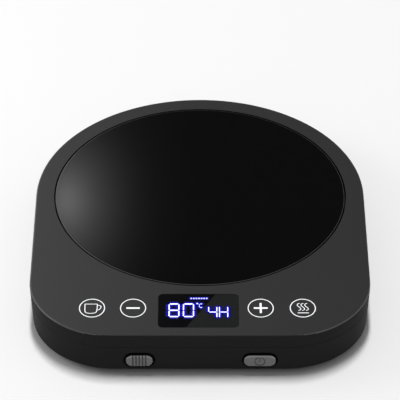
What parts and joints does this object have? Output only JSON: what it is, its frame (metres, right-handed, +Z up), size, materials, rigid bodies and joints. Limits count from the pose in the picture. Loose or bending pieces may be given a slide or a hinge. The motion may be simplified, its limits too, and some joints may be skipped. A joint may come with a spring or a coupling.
{
  "type": "electric mug warmer",
  "caption": "Low electric mug warmer with a flush round glass warming plate, a display between touch keys, a slide switch and a push button in the front wall.",
  "frame": {"origin": "centre of the bounding box's bottom face, on the surface that the rubber feet stand on", "axes": "+Z up, +Y from the front wall with the controls to the rear wall with the cord inlet, +X to the right as seen from the front"},
  "size_m": [0.15, 0.1762, 0.0225],
  "materials": {
    "lower_housing": "fine spark-textured black moulding",
    "upper_housing": "fine spark-textured charcoal moulding",
    "plate_glass": "polished black ceramic glass, opaque",
    "silicone": "red silicone",
    "aluminium": "rolled sheet",
    "mica": "mica laminate",
    "insulation": "ceramic fibre board",
    "sheet_steel": "zinc plated",
    "screw_steel": "zinc plated",
    "sensor_ceramic": "ceramic",
    "fuse_body": "lacquered",
    "window_black": "polished smoked lens",
    "display_white": "moulded reflector",
    "board_green": "solder mask",
    "component_black": "epoxy",
    "conductive_foam": "foam",
    "control_grey": "satin grey",
    "guide_black": "moulded",
    "switch_can": "tinned",
    "plunger_plastic": "moulded",
    "terminal_green": "moulded",
    "capacitor_yellow": "moulded",
    "gland_rubber": "black",
    "foot_rubber": "black"
  },
  "bodies": {
    "housing": {"base_shell": "lower_housing", "top_cover": "upper_housing", "glass_plate": "plate_glass", "plate_seal": "silicone", "heat_spreader": "aluminium", "heater_element": "mica", "insulation_disc": "insulation", "heater_retainer": "sheet_steel", "retainer_screws": "screw_steel", "temperature_sensor": "sensor_ceramic", "thermal_fuse": "fuse_body", "display_window": "window_black", "display_module": "display_white", "control_board": "board_green", "control_board_screws": "screw_steel", "controller_chip": "component_black", "touch_foam_cup": "conductive_foam", "touch_foam_minus": "conductive_foam", "touch_foam_plus": "conductive_foam", "touch_foam_steam": "conductive_foam", "slide_guide": "guide_black", "slide_switch": "switch_can", "button_guide": "guide_black", "tact_switch": "component_black", "power_board": "board_green", "power_board_screws": "screw_steel", "board_connector": "component_black", "terminal_block": "terminal_green", "mains_capacitor": "capacitor_yellow", "triac": "component_black", "buzzer": "component_black", "cord_gland": "gland_rubber", "housing_screws": "screw_steel", "foot_front_left": "foot_rubber", "foot_front_right": "foot_rubber", "foot_rear_left": "foot_rubber", "foot_rear_right": "foot_rubber"},
    "slide_control": {"slide_knob": "control_grey", "slide_lever": "component_black"},
    "button_control": {"power_button": "control_grey", "tact_plunger": "plunger_plastic"}
  },
  "joints": [
    {"name": "slide_knob_travel", "type": "slide", "parent": "housing", "child": "slide_control", "axis": [1, 0, 0], "range_m": [-0.00075, 0.00075]},
    {"name": "power_button_press", "type": "slide", "parent": "housing", "child": "button_control", "axis": [0, 1, 0], "range_m": [0, 0.0006], "stiffness_N_per_m": 1500}
  ]
}
